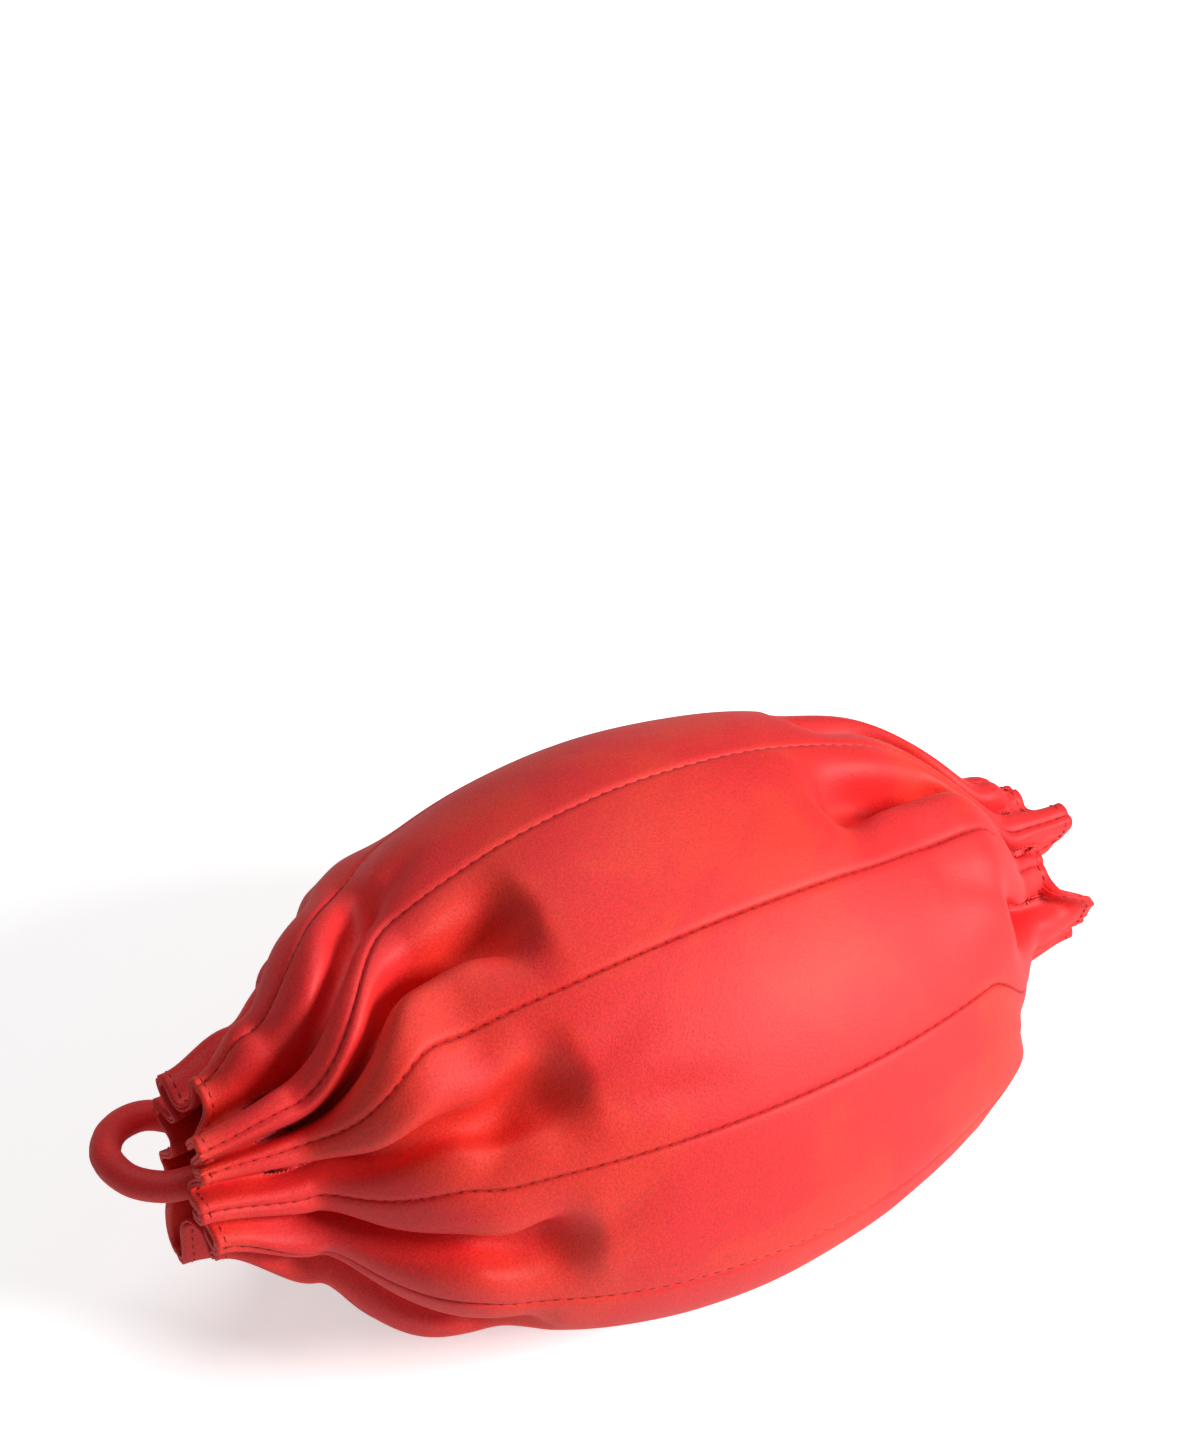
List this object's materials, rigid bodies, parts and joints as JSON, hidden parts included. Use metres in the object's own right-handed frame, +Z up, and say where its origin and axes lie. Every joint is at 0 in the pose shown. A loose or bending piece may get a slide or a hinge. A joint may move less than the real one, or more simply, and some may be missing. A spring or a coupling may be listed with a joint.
{
  "type": "gathered crossbody bag",
  "caption": "Plump red satin crossbody bag of long gores, drawn together into ruffled ends on sewn tubes, with a zip in its back seam.",
  "frame": {"origin": "on the floor under the middle of the bag, without its strap", "axes": "+X along the bag from its left gathered end to its right one, -Y towards its front, +Z up"},
  "size_m": [0.3101, 0.2001, 0.148],
  "materials": {
    "satin": "soft sheen",
    "lining": "matt",
    "tape": "matt",
    "teeth": "satin",
    "metal": "polished"
  },
  "bodies": {
    "bag": {"panel_01": "satin", "panel_02": "satin", "panel_03": "satin", "panel_04": "satin", "panel_05": "satin", "panel_06": "satin", "panel_07": "satin", "panel_08": "satin", "panel_09": "satin", "panel_10": "satin", "lining": "lining", "facing_left": "satin", "facing_right": "satin", "gather_ring_left": "satin", "gather_ring_right": "satin", "strap_knot_left": "satin", "strap_knot_right": "satin", "strap_start": "satin", "strap_end": "satin", "strap_hank": "satin", "strap_tie": "satin", "zip_tape_upper": "tape", "zip_tape_lower": "tape", "zip_teeth_upper": "teeth", "zip_teeth_lower": "teeth", "zip_stop_left": "metal", "zip_stop_right": "metal"},
    "zip_slider": {"zip_slider": "metal"},
    "zip_pull": {"zip_pull": "metal"}
  },
  "joints": [
    {"name": "zip_slide", "type": "hinge", "parent": "bag", "child": "zip_slider", "pos_m": [0, -0.09257, 0.05168], "axis": [0, -0.1736, 0.9848], "range_deg": [0, 39.1]},
    {"name": "pull_swing", "type": "hinge", "parent": "zip_slider", "child": "zip_pull", "pos_m": [0.05909, 0.0709, 0.0805], "axis": [0, 0.1736, -0.9848], "range_deg": [0, 150]}
  ]
}
